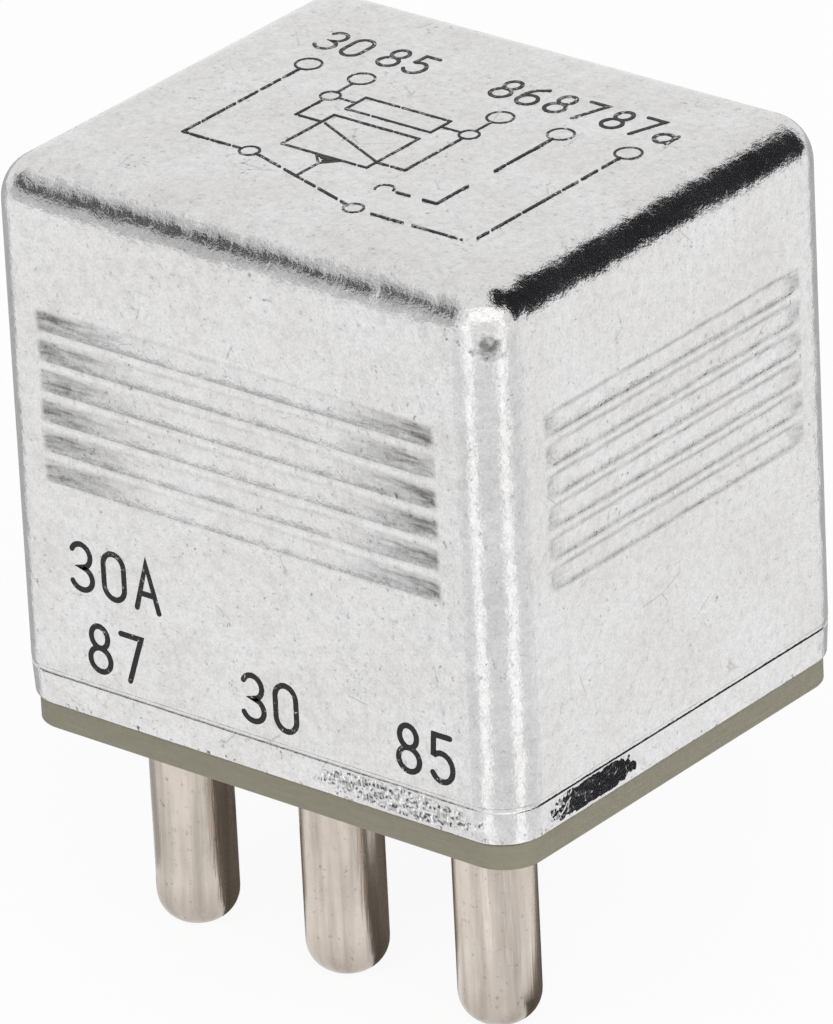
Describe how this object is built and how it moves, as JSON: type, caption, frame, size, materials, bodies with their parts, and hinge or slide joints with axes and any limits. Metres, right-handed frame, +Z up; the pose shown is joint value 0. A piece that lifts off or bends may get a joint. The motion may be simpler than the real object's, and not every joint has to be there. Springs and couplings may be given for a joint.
{
  "type": "automotive relay",
  "caption": "Plug-in automotive changeover relay in a ribbed square metal can, round plug pins below a laminate base plate, coil and contact set inside.",
  "frame": {"origin": "centre of the can's plan, at the height of the pin tips", "axes": "+Z up out of the roof of the can, -Y out of the face above the row of three pins, +X to the right of that face"},
  "size_m": [0.03, 0.0256, 0.0404],
  "materials": {
    "can_sheet": "satin drawn aluminium sheet with fine scuffs",
    "laminate": "olive laminated base board",
    "pin_plating": "warm grey nickel plating on turned brass",
    "terminal_brass": "stamped brass sheet",
    "contact_silver": "silver alloy contact",
    "soft_iron": "zinc plated soft iron",
    "rivet_metal": "bright rivet",
    "moulding": "natural moulded bobbin",
    "copper_wire": "enamelled copper wire",
    "copper_braid": "bare copper braid",
    "spring_bronze": "phosphor bronze strip",
    "spring_steel": "spring steel wire",
    "resistor_coat": "lacquered resistor body"
  },
  "bodies": {
    "housing": {"can": "can_sheet", "base_plate": "laminate", "pin_30": "pin_plating", "pin_85": "pin_plating", "pin_86": "pin_plating", "pin_87": "pin_plating", "pin_87a": "pin_plating", "lug_30": "terminal_brass", "lug_85": "terminal_brass", "lug_86": "terminal_brass", "bracket_87": "terminal_brass", "bracket_87a": "terminal_brass", "contact_no": "contact_silver", "contact_nc": "contact_silver", "yoke": "soft_iron", "yoke_rivets": "rivet_metal", "core": "soft_iron", "bobbin": "moulding", "coil_winding": "copper_wire", "return_spring": "spring_steel", "braid": "copper_braid", "resistor": "resistor_coat"},
    "armature_set": {"armature": "soft_iron", "contact_leaf": "spring_bronze", "leaf_rivets": "rivet_metal", "moving_contact": "contact_silver"}
  },
  "joints": [
    {"name": "armature_swing", "type": "hinge", "parent": "housing", "child": "armature_set", "pos_m": [0.0104, 0.0012, 0.03415], "axis": [0, -1, 0], "range_deg": [0, 3], "stiffness_Nm_per_rad": 0.05, "springref_deg": -20.05, "deforming": ["return_spring", "braid"]}
  ]
}
